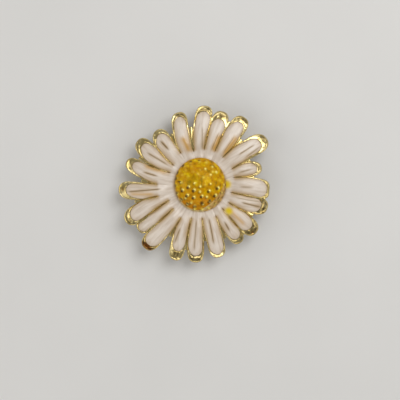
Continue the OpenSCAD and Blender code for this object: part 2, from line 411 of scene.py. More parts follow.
# How many edges don't have two faces, which should be none.
def openPlaces(piece):
    uses = {}
    for face in piece.data.polygons:
        for edge in face.edge_keys:
            uses[edge] = uses.get(edge, 0) + 1
    return sum(1 for count in uses.values() if count != 2)


def report(piece):
    triangles = sum(len(face.vertices) - 2 for face in piece.data.polygons)
    print(f"{piece.name}: {triangles} triangles, {openPlaces(piece)} open edges")


# The gold casting.
casting = {
    "outlinePoints": 120, "tipShare": 0.34, "rootShare": 0.95,
    "startR": 7.7, "bedStartR": 7.95, "overlap": 0.03,
    # The blank's rings below the outline: share of the width and height, and how far each is
    # drawn in at the tip.
    "wallRings": {-1: (0.0, 0.0, 0.5), 0: (0.82, 0.0, 0.288), 1: (0.94, 0.16, 0.096),
                  2: (1.0, 0.45, 0.0)},
    "rimSteps": [0, 0.03, 0.08, 0.15, 0.24, 0.35, 0.48, 0.62, 0.76, 0.87, 0.95, 1],
    "rimRound": 0.3, "bedRound": 0.14, "rimLift": (-0.06, 0.05), "rimLiftR": (10.5, 13.5),
    "rimStartR": (8.0, 8.8), "freeRun": (-0.1, 1.1), "sunk": 0.3,
    "cupDepth": 0.3, "bulb": 0.28, "cupFrom": 0.32, "cupRun": 0.42, "cupWide": (0.6, 1.1),
    "lipRise": 0.07, "lipFrom": 0.16, "lipWidth": 0.12, "lipWide": (0.5, 0.8),
    "ripple": 0.08, "bareWide": (0.45, 0.95), "bareEdges": (0.2, 0.15),
    "crinkled": {1: 0.1, 2: 0.16, 3: 0.06, 5: 0.1, 6: 0.08, 9: 0.06, 13: 0.06},  # petal: mm
    "plateR": 9.4, "plateTop": 5.86,
    "webRootR": 0.9, "webEndR": 0.38, "webTop": 5.85, "webRound": 0.25, "webLift": 0.015,
}
# Dark places on the bare tips, painted dark reflections, and red-brown tarnishing: petal,
# distance, offset to the petal's left, half length and half width in mm, how dark and how red.
cloudRows = [
    (1, 17.0, 0.95, 0.4, 0.28, 1.2, 0.3), (1, 17.3, -0.3, 0.45, 0.38, 1.5, 0.2),
    (1, 17.4, -1.2, 0.35, 0.3, 1.2, 0.1), (2, 18.0, -0.5, 0.4, 0.5, 1.3, 1.0),
    (2, 17.2, 0.9, 0.4, 0.3, 1.3, 0.3), (2, 17.4, -1.3, 0.3, 0.3, 1.2, 0.2),
    (2, 18.1, 0.5, 0.3, 0.3, 1.1, 1.0), (2, 17.3, -0.3, 0.2, 0.3, 1.3, 0.2),
    (3, 17.1, 0.7, 0.5, 0.4, 0.9, 0.1), (5, 18.9, 0.9, 0.4, 0.4, 1.0, 0.1),
    (5, 18.9, -0.9, 0.4, 0.4, 1.0, 0.1), (6, 18.4, -0.35, 1.2, 0.25, 0.8, 0.1),
    (6, 18.9, 0.45, 1.2, 0.22, 0.8, 0.1), (7, 20.6, 0.0, 0.7, 2.2, 1.4, 1.0),
    (9, 20.0, 0.9, 0.8, 0.5, 0.8, 0.1), (10, 19.7, -0.2, 0.5, 0.6, 0.9, 0.5),
    (11, 18.7, 0.2, 0.6, 0.6, 0.6, 0.1), (14, 18.4, 0.0, 0.4, 0.5, 0.9, 0.2),
    (15, 19.2, 0.6, 0.4, 0.5, 0.7, 0.1), (15, 19.3, -0.7, 0.5, 0.5, 0.7, 0.1),
    (16, 18.3, 0.0, 0.5, 1.0, 0.8, 0.1), (17, 19.7, 0.0, 0.45, 1.2, 0.6, 0.1),
    (18, 18.9, 0.9, 0.5, 0.3, 0.9, 0.1), (18, 20.1, 0.3, 0.3, 1.3, 0.5, 0.1),
    (19, 15.6, 0.0, 0.4, 0.6, 0.6, 0.1),
]
cloudColumns = ["petal", "r", "offset", "long", "wide", "dark", "red"]
tipClouds = [dict(zip(cloudColumns, row)) for row in cloudRows]
# How dark the gold is painted: by itself, and as painted shade on its back, down its walls, in
# the gaps before and beyond a notch, on the rims by the roots, and in the hollows of the tips.
shadeAndTarnish = {
    "plain": 0.25, "back": 0.3, "backHigh": 0.3, "wall": 0.6, "wallFrom": 0.35, "wallRun": 0.7,
    "gap": (0.7, 0.15), "gapRun": (-2.5, -0.8), "roots": 0.35, "rootsR": (10.0, 12.5),
    "cup": 0.55, "cupRun": 0.2,
}
wallSteps = 3  # rings from the underside to the outline's top
innerSteps = 3  # the bed's wall, its floor and its middle line
lastRim = wallSteps + len(casting["rimSteps"]) - 1


# A flat disc raised and inset ring by ring: its wall, its rim, the bed's wall and its floor.
def makePetalBlank():
    blank = addShape(bpy.ops.mesh.primitive_circle_add, vertices=casting["outlinePoints"], radius=1,
                     fill_type="NGON")
    blank.name = "petalBlank"
    editAll(blank)
    bpy.ops.mesh.normals_make_consistent(inside=False)
    for step in range(wallSteps):
        extrudeBy(0, 0, 1)
    for step in range(wallSteps, lastRim + innerSteps):
        bpy.ops.mesh.inset(thickness=0.05, depth=1)
    bpy.ops.mesh.delete(type="ONLY_FACE")
    objectMode()
    for face in blank.data.polygons:
        face.select = len(face.vertices) > 4
    bpy.ops.object.mode_set(mode="EDIT")
    bpy.ops.mesh.select_mode(type="FACE")
    bpy.ops.mesh.inset(thickness=0.5, depth=1)  # the underside's middle line
    bpy.ops.mesh.delete(type="ONLY_FACE")
    objectMode()
    return blank


# How far out a point of an outline is, from the outline's end at run 0 to its root at 1.
def runR(run, endR, endLen, rootR):
    if run < casting["tipShare"]:
        return endR - endLen * (1 - sin(radians(90 * (1 - run / casting["tipShare"]))))
    along = clamp((run - casting["tipShare"]) / (casting["rootShare"] - casting["tipShare"]))
    return mix(endR - endLen, rootR, along)


# Distance and offset of the petal's outline and of its bed's at this part of their run.
def outlineSpots(petal, side, run):
    closing = min(1, (1 - run) / (1 - casting["rootShare"]))
    outR = runR(run, petal["reach"], shape["tipLen"], casting["startR"])
    inR = runR(run, bedReach(petal), bedEnd(petal), casting["bedStartR"])
    outHalf = outerHalf(petal, side, outR) + casting["overlap"]
    return outR, outHalf * closing, inR, bedHalf(petal, side, inR) * closing


# How far a rounded edge has fallen at this distance from it.
def quarterFall(distance, radius):
    if radius <= 0 or distance >= radius:
        return 0.0
    return radius - sqrt(max(0.0, radius ** 2 - (radius - distance) ** 2))


# Height of the gold between a petal's outline and its bed.
def rimZ(petal, side, r, offset, fromEdge, wide):
    z = coverZ(petal, side, offset, r)
    z += mix(*casting["rimLift"], ease(partOf(r, *casting["rimLiftR"])))
    z -= quarterFall(fromEdge, min(casting["rimRound"], 0.5 * wide))
    z -= quarterFall(wide - fromEdge, min(casting["bedRound"], 0.3 * wide))
    if petal["cup"] > 0:  # a hollow across a wide tip, or a bulge where the cup is negative
        depth = casting["cupDepth"]
        inner = clamp((fromEdge - casting["cupFrom"]) / casting["cupRun"])
    else:
        depth = casting["bulb"]
        inner = sin(pi * clamp(fromEdge / max(wide, 0.01)))
    z -= petal["cup"] * depth * ease(inner) * partOf(wide, *casting["cupWide"])
    edge, bedEdge = casting["bareEdges"]
    bare = partOf(wide, *casting["bareWide"]) * clamp(fromEdge / edge)
    bare *= clamp((wide - fromEdge) / bedEdge)
    z += casting["ripple"] * bare * waves(petal, r, offset, 1.5, 1.1, 3.1)
    crinkle = casting["crinkled"].get(petal["place"], 0.0)
    z += crinkle * bare * waves(petal, r, offset, 2.5, 2.3, 5.3)
    lip = bell((wide - fromEdge - casting["lipFrom"]) / casting["lipWidth"])
    z += casting["lipRise"] * partOf(wide, *casting["lipWide"]) * lip
    split = partingR(petal, side, "split")
    z -= casting["sunk"] * (1 - ease(partOf(r, *(split + step for step in casting["freeRun"]))))
    return mix(casting["plateTop"] - 0.1, z, ease(partOf(r, *casting["rimStartR"])))


# Gives each ring of the blank its place on this petal.
def fitPetal(piece, petal):
    for vertex in piece.data.vertices:
        ring = round(vertex.co.z)
        turn = atan2(vertex.co.y, vertex.co.x)
        side = sideOf(turn)
        outR, outHalf, inR, inHalf = outlineSpots(petal, side, abs(turn) / pi)
        wide = hypot(outR - inR, outHalf - inHalf)
        if ring < wallSteps:
            share, level, drawnIn = casting["wallRings"][ring]
            low = min(shape["backZ"], ridgeZ(petal, outR) - shape["thick"])
            high = rimZ(petal, side, outR, side * outHalf, 0, wide)
            r, offset = outR - drawnIn * tipPart(petal, outR), side * outHalf * share
            z = mix(low, high, level)
        elif ring <= lastRim:
            t = casting["rimSteps"][ring - wallSteps]
            r, offset = mix(outR, inR, t), side * mix(outHalf, inHalf, t)
            z = rimZ(petal, side, r, offset, t * wide, wide)
        else:  # the foot of the bed's wall, its floor and its middle line
            share = [1.0, 0.5, 0.0][ring - lastRim - 1]
            r, offset = inR if share == 1 else inR - 0.02, side * inHalf * share
            z = floorZ(petal, offset, r)
        vertex.co = spotAt(petal, r, offset, z)


# Stretches a round web between this petal and the one that follows it.
def fitWeb(web, petal):
    following = neighbour(petal, -1)
    root = (casting["plateR"] - 1, casting["webRootR"], casting["plateTop"])
    end = (petal["notch"] - casting["webEndR"], casting["webEndR"], casting["webTop"])
    for vertex in web.data.vertices:
        middle, radius, top = end if vertex.co.x > 0.01 else root
        turn = radians(facingAngle(petal, following, middle))
        low = Vector((vertex.co.x * radius, vertex.co.y * radius))
        x = middle + low.x
        out = Vector((x * cos(turn) - low.y * sin(turn), x * sin(turn) + low.y * cos(turn)))
        z = mix(shape["backZ"] + casting["webLift"], top, vertex.co.z)
        vertex.co = pointAt(out.x, out.y, z)


def makeCasting():
    blank = makePetalBlank()
    webBlank = addShape(bpy.ops.mesh.primitive_cylinder_add, vertices=24, radius=1, depth=1,
                        location=(0, 0, 0.5))
    bevelWhere(webBlank, lambda edge, spots: min(s.z for s in spots) > 0.9 / mm,
               casting["webRound"], 4)
    thick = casting["plateTop"] - shape["backZ"]
    plate = addShape(bpy.ops.mesh.primitive_cylinder_add, vertices=120,
                     radius=casting["plateR"] * mm, depth=thick * mm,
                     location=pointAt(0, 0, shape["backZ"] + thick / 2))
    made, webs = [], []
    for petal in petals:
        made.append(copyOf(blank, f"petal{petal['place']}"))
        fitPetal(made[-1], petal)
        weld(made[-1])
        webs.append(copyOf(webBlank, f"web{petal['place']}"))
        fitWeb(webs[-1], petal)
    bpy.data.objects.remove(blank)
    bpy.data.objects.remove(webBlank)
    evenWebs, oddWebs = joinInto("evenWebs", webs[0::2]), joinInto("oddWebs", webs[1::2])
    for part in (evenWebs, oddWebs, plate):
        weld(part)
    evens, odds = joinInto("evenPetals", made[0::2]), joinInto("oddPetals", made[1::2])
    for part in (evenWebs, oddWebs, evens, odds):
        combine(plate, part)
    plate.name = plate.data.name = "goldCasting"
    return plate


# The petal that a place lies on, with its distance along it and its offset, in mm.
def nearestPetal(x, y):
    out = hypot(x, y)
    turn = atan2(y, x)
    best = None
    for petal in petals:
        if abs(shortRadians(turn - radians(petal["tipAngle"]))) > 0.5:
            continue
        r = out
        for again in range(2):
            away = shortRadians(turn - radians(petalAngle(petal, max(r, 6))))
            if abs(away) > 0.6:
                break
            r = mix(out, out * cos(away), ease(partOf(out, *shape["squareR"])))
        if abs(away) > 0.6 or r > petal["reach"] + 0.5:
            continue
        offset = r * tan(away)
        score = abs(offset) / max(0.4, fullHalf(petal, r))
        if best is None or score < best[0]:
            best = (score, petal, r, offset)
    return best[1:] if best else None


# How dark the gold is at a point with painted shade and tarnishing, and how red-brown, from 0 to 1.
def goldTones(vertex):
    x, y, z = placeOf(vertex.co)
    found = nearestPetal(x, y)
    if not found:
        return {"hollow": shadeAndTarnish["plain"], "redBrown": 0.0}
    petal, r, offset = found
    top = surfaceZ(petal, r, acrossPart(petal, offset, r))
    # painted shade down the walls, and in the gaps beside a notch
    dark = shadeAndTarnish["wall"] * clamp((top - shadeAndTarnish["wallFrom"] - z) / shadeAndTarnish["wallRun"])
    if abs(offset) > outerHalf(petal, sideOf(offset), r) + 0.06:
        past = partOf(r, *(petal["notch"] + step for step in shadeAndTarnish["gapRun"]))
        dark = min(dark, mix(*shadeAndTarnish["gap"], past))
    # painted shade under the casting's back
    if z < shape["backZ"] + shadeAndTarnish["backHigh"]:
        dark = shadeAndTarnish["back"]
    red = 0.0
    if vertex.normal.z > 0.1 and z > top - 0.9:
        # painted shade on the rims by the roots and in the hollows of cupped tips
        dark = max(dark, shadeAndTarnish["roots"] * (1 - partOf(r, *shadeAndTarnish["rootsR"])))
        if r > bedReach(petal) - 0.6:
            sunk = clamp((top + 0.02 - z) / shadeAndTarnish["cupRun"])
            dark = max(dark, shadeAndTarnish["cup"] * max(0.0, petal["cup"]) * sunk)
            # painted dark reflections and red-brown tarnishing on the tips
            for cloud in tipClouds:
                if cloud["petal"] == petal["place"]:
                    near = bell(hypot((r - cloud["r"]) / cloud["long"],
                                      (offset - cloud["offset"]) / cloud["wide"]))
                    dark = max(dark, cloud["dark"] * near)
                    red = max(red, cloud["red"] * near)
    return {"hollow": clamp(dark), "redBrown": clamp(red)}


goldCasting = makeCasting()
smoothBy(goldCasting, 50)
paint(goldCasting, goldTones)
report(goldCasting)

# The white enamel.
enamel = {
    "columns": 26, "ringRows": 20, "sideRows": 20, "endRows": 14,
    "startR": 6.88, "sharedR": 10.6, "collarR": 8.2, "collarGap": 0.03, "inset": 0.02,
    "depth": 0.2, "lift": 0.04, "floorR": (8.2, 8.8),
    "lip": 0.03, "swell": 0.13, "swellFall": 0.8, "edgeRound": 0.1, "freeRun": (-0.1, 0.8),
    "climb": 0.15, "climbRun": 1.2, "bareFall": 0.2, "bareRound": 0.5, "wave": 0.035,
    "markRise": {"band": 0.06, "vein": -0.05, "vein2": -0.05}, "markSpread": 1.6,
    "markEnds": (0.9, 0.7), "brownWide": 1.6, "shadeAtCollar": 0.75, "brownRun": (-0.2, 0.6),
    "rootTone": (1.0, 0.45), "rootToneR": (12.5, 15.5), "stainPart": 0.72,
}
# Lines that show through the enamel: petal, kind, angle in degrees and distance in mm at its
# near and far end, half its width in mm, and its strength.
markRows = [
    (0, "vein", -3.5, 10.6, -3.1, 13.2, 0.24, 0.45),
    (1, "vein", -22.9, 11.8, -20.4, 16.2, 0.17, 0.8),
    (1, "vein2", -19.4, 10.2, -16.0, 15.4, 0.16, 0.6),
    (2, "band", -40.6, 10.4, -41.9, 15.0, 0.26, 0.75),
    (3, "vein", -56.8, 11.6, -57.2, 13.6, 0.18, 0.9),
    (4, "vein", -75.3, 9.2, -76.8, 14.9, 0.15, 0.85),
    (5, "vein", -95.6, 9.4, -95.0, 16.4, 0.18, 0.55),
    (6, "vein", -114.2, 12.4, -113.6, 15.8, 0.16, 0.7),
    (8, "vein", -149.0, 11.4, -148.4, 16.6, 0.14, 0.3),
    (10, "vein", -173.5, 10.4, -174.4, 18.0, 0.15, 0.85),
    (10, "band", -168.8, 12.2, -172.2, 17.6, 0.22, 0.75),
    (11, "vein", 168.7, 11.4, 167.6, 14.3, 0.15, 0.9),
    (11, "band", 160.0, 9.2, 160.9, 14.4, 0.34, 0.8),
    (12, "vein", 148.7, 10.0, 148.8, 15.2, 0.17, 0.7),
    (13, "vein", 132.0, 12.2, 132.1, 14.6, 0.20, 1.0),
    (14, "band", 107.8, 8.9, 110.2, 12.6, 0.42, 1.0),
    (15, "vein", 86.6, 9.4, 87.8, 14.2, 0.14, 0.5),
    (16, "band", 68.6, 9.3, 68.3, 13.2, 0.34, 1.0),
    (16, "vein2", 71.2, 9.6, 70.2, 13.6, 0.08, 0.7),
    (17, "band", 51.4, 10.0, 52.8, 15.0, 0.32, 1.0),
    (17, "vein2", 53.8, 10.4, 54.4, 14.6, 0.07, 0.6),
    (18, "vein", 37.2, 12.8, 36.2, 16.8, 0.13, 0.9),
    (18, "vein2", 30.8, 13.6, 32.3, 17.8, 0.12, 0.5),
    (19, "vein", 17.0, 10.6, 16.4, 13.4, 0.16, 0.5),
]
markColumns = ["petal", "kind", "nearAngle", "nearR", "farAngle", "farR", "half", "strength"]
marks = [dict(zip(markColumns, row)) for row in markRows]
stains = [(6.85, 0.05, 1.5), (7.28, -6.7, 1.4)]  # x, y from the flower's middle, radius


def marksOf(petal):
    return [mark for mark in marks if mark["petal"] == petal["place"]]


# Distance of a row from the flower's middle. Rows up to sharedR are the same on all petals.
def rowR(petal, row):
    ring, side, end = enamel["ringRows"], enamel["sideRows"], enamel["endRows"]
    if row <= ring:
        return mix(enamel["startR"], enamel["sharedR"], row / ring)
    straight = bedReach(petal) - bedEnd(petal)
    if row <= ring + side:
        return mix(enamel["sharedR"], straight, (row - ring) / side)
    return straight + bedEnd(petal) * sin(radians(90 * (row - ring - side) / end))


# How far a place is from a mark's line in mm, and how strong the mark is there.
def markAt(mark, r, turn):
    line = radians(mix(mark["nearAngle"], mark["farAngle"], partOf(r, mark["nearR"], mark["farR"])))
    outer, inner = enamel["markEnds"]
    strength = partOf(r, mark["nearR"] - outer, mark["nearR"] + inner)
    strength *= 1 - partOf(r, mark["farR"] - inner, mark["farR"] + outer)
    return r * shortRadians(turn - line), mark["strength"] * ease(strength)


# Height of the coat's upper face, where bed is 0 in the petal's middle and 1 on the coat's edge.
def enamelZ(petal, side, r, offset, bed):
    z = coverZ(petal, side, offset, r)
    z += enamel["swell"] * (1 - enamel["swellFall"] * bed ** 2) - enamel["lip"]
    split = partingR(petal, side, "split")
    free = partOf(r, *(split + step for step in enamel["freeRun"]))
    z -= free * quarterFall((1 - bed) * openHalf(petal, side, r), enamel["edgeRound"])
    turn = radians(petalAngle(petal, r)) + atan2(offset, r)
    bare = bareCollar(turn)
    z -= enamel["bareFall"] * bare * quarterFall(r - enamel["startR"], enamel["bareRound"])
    climbed = 1 - partOf(r, enamel["startR"], enamel["startR"] + enamel["climbRun"])
    z += enamel["climb"] * (1 - bare) * climbed ** 2
    inside = 1 - bed ** 8  # the shared edge is the same on both petals
    for mark in marksOf(petal):
        away, strength = markAt(mark, r, turn)
        near = bell(away / (enamel["markSpread"] * mark["half"]))
        z += inside * enamel["markRise"][mark["kind"]] * strength * near
    return z + enamel["wave"] * inside * waves(petal, r, offset, 0.3, 1.9, 7.3)


# Gives each point of a sheet its place in this petal's bed.
def fitLobe(lobe, petal, rows):
    for vertex in lobe.data.vertices:
        wide = 0.35 * vertex.co.x + 0.65 * sin(vertex.co.x * pi / 2)
        row = round((vertex.co.y + 1) / 2 * rows)
        side = sideOf(wide)
        r = min(rowR(petal, row), bedReach(petal) - enamel["inset"])
        offset = wide * bedHalf(petal, side, r, enamel["inset"])
        onEdge = row == rows or abs(vertex.co.x) > 0.999
        bed = 1.0 if onEdge else bedAcross(petal, offset, r)
        vertex.co = spotAt(petal, r, offset, enamelZ(petal, side, r, offset, bed))
        if r < enamel["collarR"]:  # the first rows start beside the collar
            x, y, z = placeOf(vertex.co)
            out = hypot(x, y)
            pull = (enamel["collarR"] - out) / (enamel["collarR"] - enamel["startR"])
            move = collarAt(atan2(y, x)) + enamel["collarGap"] - enamel["startR"]
            share = (out + pull * move) / out
            vertex.co = pointAt(x * share, y * share, z)


def makeEnamel():
    rows = enamel["ringRows"] + enamel["sideRows"] + enamel["endRows"]
    sheet = addShape(bpy.ops.mesh.primitive_grid_add, x_subdivisions=enamel["columns"],
                     y_subdivisions=rows, size=2)
    lobes = []
    for petal in petals:
        lobes.append(copyOf(sheet, f"lobe{petal['place']}"))
        fitLobe(lobes[-1], petal, rows)
    bpy.data.objects.remove(sheet)
    coat = joinInto("whiteEnamel", lobes)
    editAll(coat)
    mergeDoubles(0.004)
    extrudeBy(0, 0, -enamel["depth"] * mm)
    objectMode()
    for vertex in coat.data.vertices:
        if vertex.select:  # the underside follows the bed's floor
            petal, r, offset = nearestPetal(*placeOf(vertex.co)[:2])
            low = floorZ(petal, offset, r) + enamel["lift"]
            level = mix(shape["plateTop"] + enamel["lift"], low, partOf(r, *enamel["floorR"]))
            vertex.co.z = min(vertex.co.z, level * mm)
    pointOutwards(coat)
    return coat


# Offsets and strengths of the marks, the distance from the coat's edge, the stains, and where a
# point lies along and across its petal.
def enamelTones(vertex):
    x, y, z = placeOf(vertex.co)
    petal, r, offset = nearestPetal(x, y)
    tones = {"along": r, "across": offset + 9.7 * petal["place"]}
    for kind in enamel["markRise"]:
        tones.update({kind + "Away": 9.0, kind + "Strength": 0.0})
    for mark in marksOf(petal):
        away, strength = markAt(mark, r, atan2(y, x))
        tones[mark["kind"] + "Away"] = away / mark["half"]
        tones[mark["kind"] + "Strength"] = strength
    side = sideOf(offset)
    split = partingR(petal, side, "split")
    joined = 1 - partOf(r, *(split + step for step in enamel["brownRun"]))
    near = (1 - bedAcross(petal, offset, r)) * openHalf(petal, side, r)
    near = mix(near, enamel["brownWide"], joined)
    # painted shade: a tan ring round the foot of the dome
    fromCollar = enamel["shadeAtCollar"] + enamel["brownWide"] * (hypot(x, y) - enamel["startR"])
    tones["fromEdge"] = min(near, fromCollar)
    tones["rootTone"] = mix(*enamel["rootTone"], ease(partOf(r, *enamel["rootToneR"])))
    tones["stain"] = max(bell(hypot(x - stainX, y - stainY) / (enamel["stainPart"] * size), 4)
                         for stainX, stainY, size in stains)
    return tones


whiteEnamel = makeEnamel()
paint(whiteEnamel, enamelTones)
smoothBy(whiteEnamel, 60)
report(whiteEnamel)

# The beaded dome and its yellow enamel.
dome = {
    "base": 5.93, "collarR": 6.85, "collarTop": 6.68, "collarRound": 0.2, "covered": 0.984,
    "capR": 6.62, "capH": 4.1, "beadR": 0.4, "beadSizes": (0.8, 1.2), "beadGap": 1.05,
    "beadPitch": 1.86, "rings": 5, "seenApart": 0.9, "apart": 1.15,
    "coveredAbove": 0.25, "coveredBelow": 0.5,
    # The painted shade beside each bead: its offset to the lower left, its radius and sizes, and
    # where it fades towards the top.
    "pitShadeAway": (0.31, 0.27), "pitShadeR": 0.34, "pitShadeSizes": (0.85, 1.2), "pitShadeFade": (-0.3, 2.5),
}
glaze = {
    "gap": 0.03, "edge": 0.05, "edgeRun": 0.3, "thick": (0.14, 0.25), "thickY": (-1.6, 2.6),
    "overBead": 0.27, "beadRise": 0.02, "beadWide": 0.4, "nearBead": 1.3, "least": 0.06,
    "waves": [(0.05, 1.1, 3.7), (0.045, 2.6, 9.1)],  # height, scale, seed
    "dashIn": 0.16, "pitDepth": 0.09, "orangeY": (0.5, 4.5),
    "glintAway": 0.07, "glintWide": 0.33, "glintProud": (0.2, 0.45), "glintLow": 0.25,
    "glintCovered": 0.55,
}
# The dome's gold: how dark the painted shade of its pits and of the beads' shaded sides is, how
# red-brown the dark places are under the coat and in the bare crescent, where the covered collar
# is painted darker, and the middle and range of its patches.
domeShadeAndTarnish = {
    "pitShade": 0.95, "red": 0.4, "bareRed": 0.9, "collarIn": 0.12, "collarY": -3.5,
    "patchy": (0.5, 0.75), "patchScale": 1.7, "bareDark": 1.5, "bareFrom": 0.35,
    "warm": (0.75, 0.5), "warmScale": 1.1, "warmFrom": (0.3, 0.5), "beadEdge": (0.48, 0.56),
}
ballR = (dome["capR"] ** 2 + dome["capH"] ** 2) / (2 * dome["capH"])
ballZ = dome["collarTop"] + dome["capH"] - ballR
# The yellow enamel ends at two slanting cuts, which leave a strip of gold below and a crescent at
# the lower right. Each has the direction of its bare side, a distance and height that it passes
# through, and how far it climbs for each mm outwards.
cuts = [
    {"turn": -110, "r": 6.62, "z": 6.97, "climb": 0.035},
    {"turn": -35, "r": 5.45, "z": 8.62, "climb": 2.6},
]
# Beads that show, by their place from the dome's middle in mm, as they are seen from above, and
# how far each stands out of the enamel, from 0 to 1.
seenBeads = [
    (-1.37, -1.39, 1.0), (-3.06, -2.68, 1.0), (-4.23, -1.39, 0.9), (-2.73, -0.58, 0.85),
    (-1.44, -3.16, 0.95), (0.56, -2.88, 0.85), (2.35, -1.59, 0.85), (4.56, -0.84, 0.95),
    (3.90, -2.68, 1.0), (2.48, -4.20, 0.7), (0.71, -4.89, 0.35), (-1.29, -5.37, 0.6),
    (-3.06, -4.89, 0.65), (-4.58, -3.80, 0.65), (-5.67, -2.35, 0.6), (-0.13, 5.75, 0.45),
    (1.59, 5.42, 0.4), (3.04, 4.30, 0.6), (1.32, 3.77, 0.7), (3.16, 3.10, 0.5),
    (4.00, 3.01, 0.85), (2.63, 2.33, 0.7), (0.76, 1.65, 0.45), (-0.61, 2.53, 0.35),
    (-1.29, 0.25, 0.5), (0.08, -0.56, 0.5), (1.2, -0.28, 0.3), (-4.66, 0.46, 0.55),
    (-4.46, 2.33, 0.3), (2.63, 0.13, 0.45), (4.68, -3.80, 0.6), (5.44, -2.03, 0.7),
    (-6.0, -0.28, 0.35), (-5.75, 1.57, 0.3), (-5.1, 3.29, 0.3), (-3.9, 4.4, 0.3), (-2.38, 5.3, 0.3),
]
# Dark dashes along the rim, where the enamel has shrunk, with painted shade in their shallow
# pits: x, y, half the length, half the width.
rimPits = [
    (-6.2, 1.5, 0.42, 0.2), (-6.3, -0.3, 0.4, 0.17), (-5.75, 3.0, 0.5, 0.15),
    (-5.95, -2.2, 0.4, 0.17), (-4.75, -3.85, 0.5, 0.22), (-3.1, -5.0, 0.55, 0.2),
    (-1.35, -5.65, 0.45, 0.22), (-2.4, 5.95, 0.5, 0.14), (-4.35, 4.8, 0.45, 0.16),
    (-0.2, 6.2, 0.35, 0.12), (2.6, -4.25, 0.36, 0.34), (-5.3, 0.7, 0.2, 0.42),
    (0.5, -4.9, 0.5, 0.4), (4.75, -3.55, 0.3, 0.2),
]
# Patches of another colour: kind, x, y, half the width, half the height, strength.
patches = [
    ("olive", -2.2, 0.8, 2.2, 1.7, 0.45), ("olive", 0.8, 1.8, 1.6, 1.6, 0.3),
    ("orange", -1.0, 3.9, 2.0, 1.0, 0.5), ("orange", 2.2, 0.4, 1.0, 1.0, 0.5),
]


# How far a place lies inside a cut, in mm.
def insideCut(cut, x, y, z):
    turn = radians(cut["turn"])
    along = x * cos(turn) + y * sin(turn)
    return (z - cut["z"] - cut["climb"] * (along - cut["r"])) / hypot(1, cut["climb"])


# The place on the ball's surface over x, y.
def onDome(x, y):
    flat = min(hypot(x, y), 0.985 * dome["capR"])
    turn = atan2(y, x)
    return Vector((flat * cos(turn), flat * sin(turn), ballZ + sqrt(ballR ** 2 - flat ** 2)))


# The seen beads, then the rings of the casting wherever no seen bead is near.
def allBeads():
    found = []
    for x, y, proud in seenBeads:
        spot = onDome(x / domeNarrow, y)
        if all((spot - other[0]).length > dome["seenApart"] for other in found):
            found.append((spot, proud))
    ringTurn = dome["beadPitch"] / ballR
    for ring in range(dome["rings"]):
        flat = ballR * sin(ring * ringTurn)
        count = max(1, round(2 * pi * flat / dome["beadPitch"]))
        for k in range(count):
            turn = 2 * pi / count * (k + 0.5 * (ring % 2))
            spot = onDome(flat * cos(turn), flat * sin(turn))
            if all((spot - other[0]).length > dome["apart"] for other in found):
                found.append((spot, dome["coveredAbove" if spot.y > -0.5 else "coveredBelow"]))
    return found


beads = allBeads()
print("beads on the dome:", len(beads))


def makeDome():
    ball = addShape(bpy.ops.mesh.primitive_uv_sphere_add, segments=96, ring_count=64,
                    radius=ballR * mm, location=pointAt(0, 0, ballZ))
    editAll(ball)
    bpy.ops.mesh.bisect(plane_co=(0, 0, (dome["collarTop"] - 0.2) * mm), plane_no=(0, 0, 1),
                        use_fill=True, clear_inner=True)
    height = dome["collarTop"] - dome["base"]
    collar = addShape(bpy.ops.mesh.primitive_cylinder_add, vertices=120,
                      radius=dome["collarR"] * mm, depth=height * mm,
                      location=pointAt(0, 0, dome["base"] + height / 2))
    bevelWhere(collar, lambda edge, spots: min(s.z for s in spots) > dome["collarTop"] - 0.01,
               dome["collarRound"] * mm)
    for vertex in collar.data.vertices:  # narrower wherever the enamel covers it
        x, y = vertex.co.x - flowerX * mm, vertex.co.y - flowerY * mm
        share = mix(dome["covered"], 1, bareCollar(atan2(y, x)))
        vertex.co.x, vertex.co.y = flowerX * mm + x * share, flowerY * mm + y * share

    beadBlank = addShape(bpy.ops.mesh.primitive_ico_sphere_add, subdivisions=3, radius=1)
    beadPoints = len(beadBlank.data.vertices)
    made = []
    for k, (spot, proud) in enumerate(beads):
        made.append(copyOf(beadBlank, f"bead{k}"))
        size = dome["beadR"] * mix(*dome["beadSizes"], proud ** 2)
        for vertex in made[-1].data.vertices:
            vertex.co = pointAt(*(spot + vertex.co * size))
    bpy.data.objects.remove(beadBlank)
    goldBeads = joinInto("goldBeads", made)
    cutters = copyOf(goldBeads, "beadCutters")  # a little larger, to leave a fine gap
    for k, vertex in enumerate(cutters.data.vertices):
        middle = pointAt(*beads[k // beadPoints][0])
        vertex.co = middle + (vertex.co - middle) * dome["beadGap"]
    combine(collar, ball)
    combine(collar, goldBeads)
    collar.name = collar.data.name = "goldDome"
    return collar, cutters


# How near a place is to a dash or to the shaded side of a bead, for painted shade there and for
# the shallow pits in the coat.
def pitShadeAt(x, y):
    left, below = dome["pitShadeAway"]
    deep = 0.0
    for spot, proud in beads:
        shaded = clamp(1.5 * proud - 0.3) * mix(1, 0.2, partOf(spot.y, *dome["pitShadeFade"]))
        away = hypot(x - spot.x + left, y - spot.y + below)
        deep = max(deep, shaded * bell(away / (dome["pitShadeR"] * mix(*dome["pitShadeSizes"], proud)), 4))
    for dashX, dashY, long, wide in rimPits:
        dashX /= domeNarrow
        out = hypot(dashX, dashY)
        radial = ((x - dashX) * dashX + (y - dashY) * dashY) / out + glaze["dashIn"]
        sideways = ((y - dashY) * dashX - (x - dashX) * dashY) / out
        deep = max(deep, bell((sideways / long) ** 2 + (radial / (1.3 * wide)) ** 2))
    return deep


def mottle(x, y, scale, seed):
    return noise.noise(Vector((x * scale, y * scale, seed)))


# How far the yellow enamel stands over the ball: thick above, thinner over the lower half.
def glazeHeight(x, y):
    height = mix(*glaze["thick"], ease(partOf(y, *glaze["thickY"])))
    spot = onDome(x, y)
    for other, proud in beads:
        away = (spot - other).length
        if away < glaze["nearBead"]:
            rise = glaze["overBead"] * (1 - proud) + glaze["beadRise"]
            height += rise * bell(away / glaze["beadWide"])
    for size, scale, seed in glaze["waves"]:
        height += size * mottle(x, y, scale, seed)
    return max(glaze["least"], height - glaze["pitDepth"] * pitShadeAt(x, y))


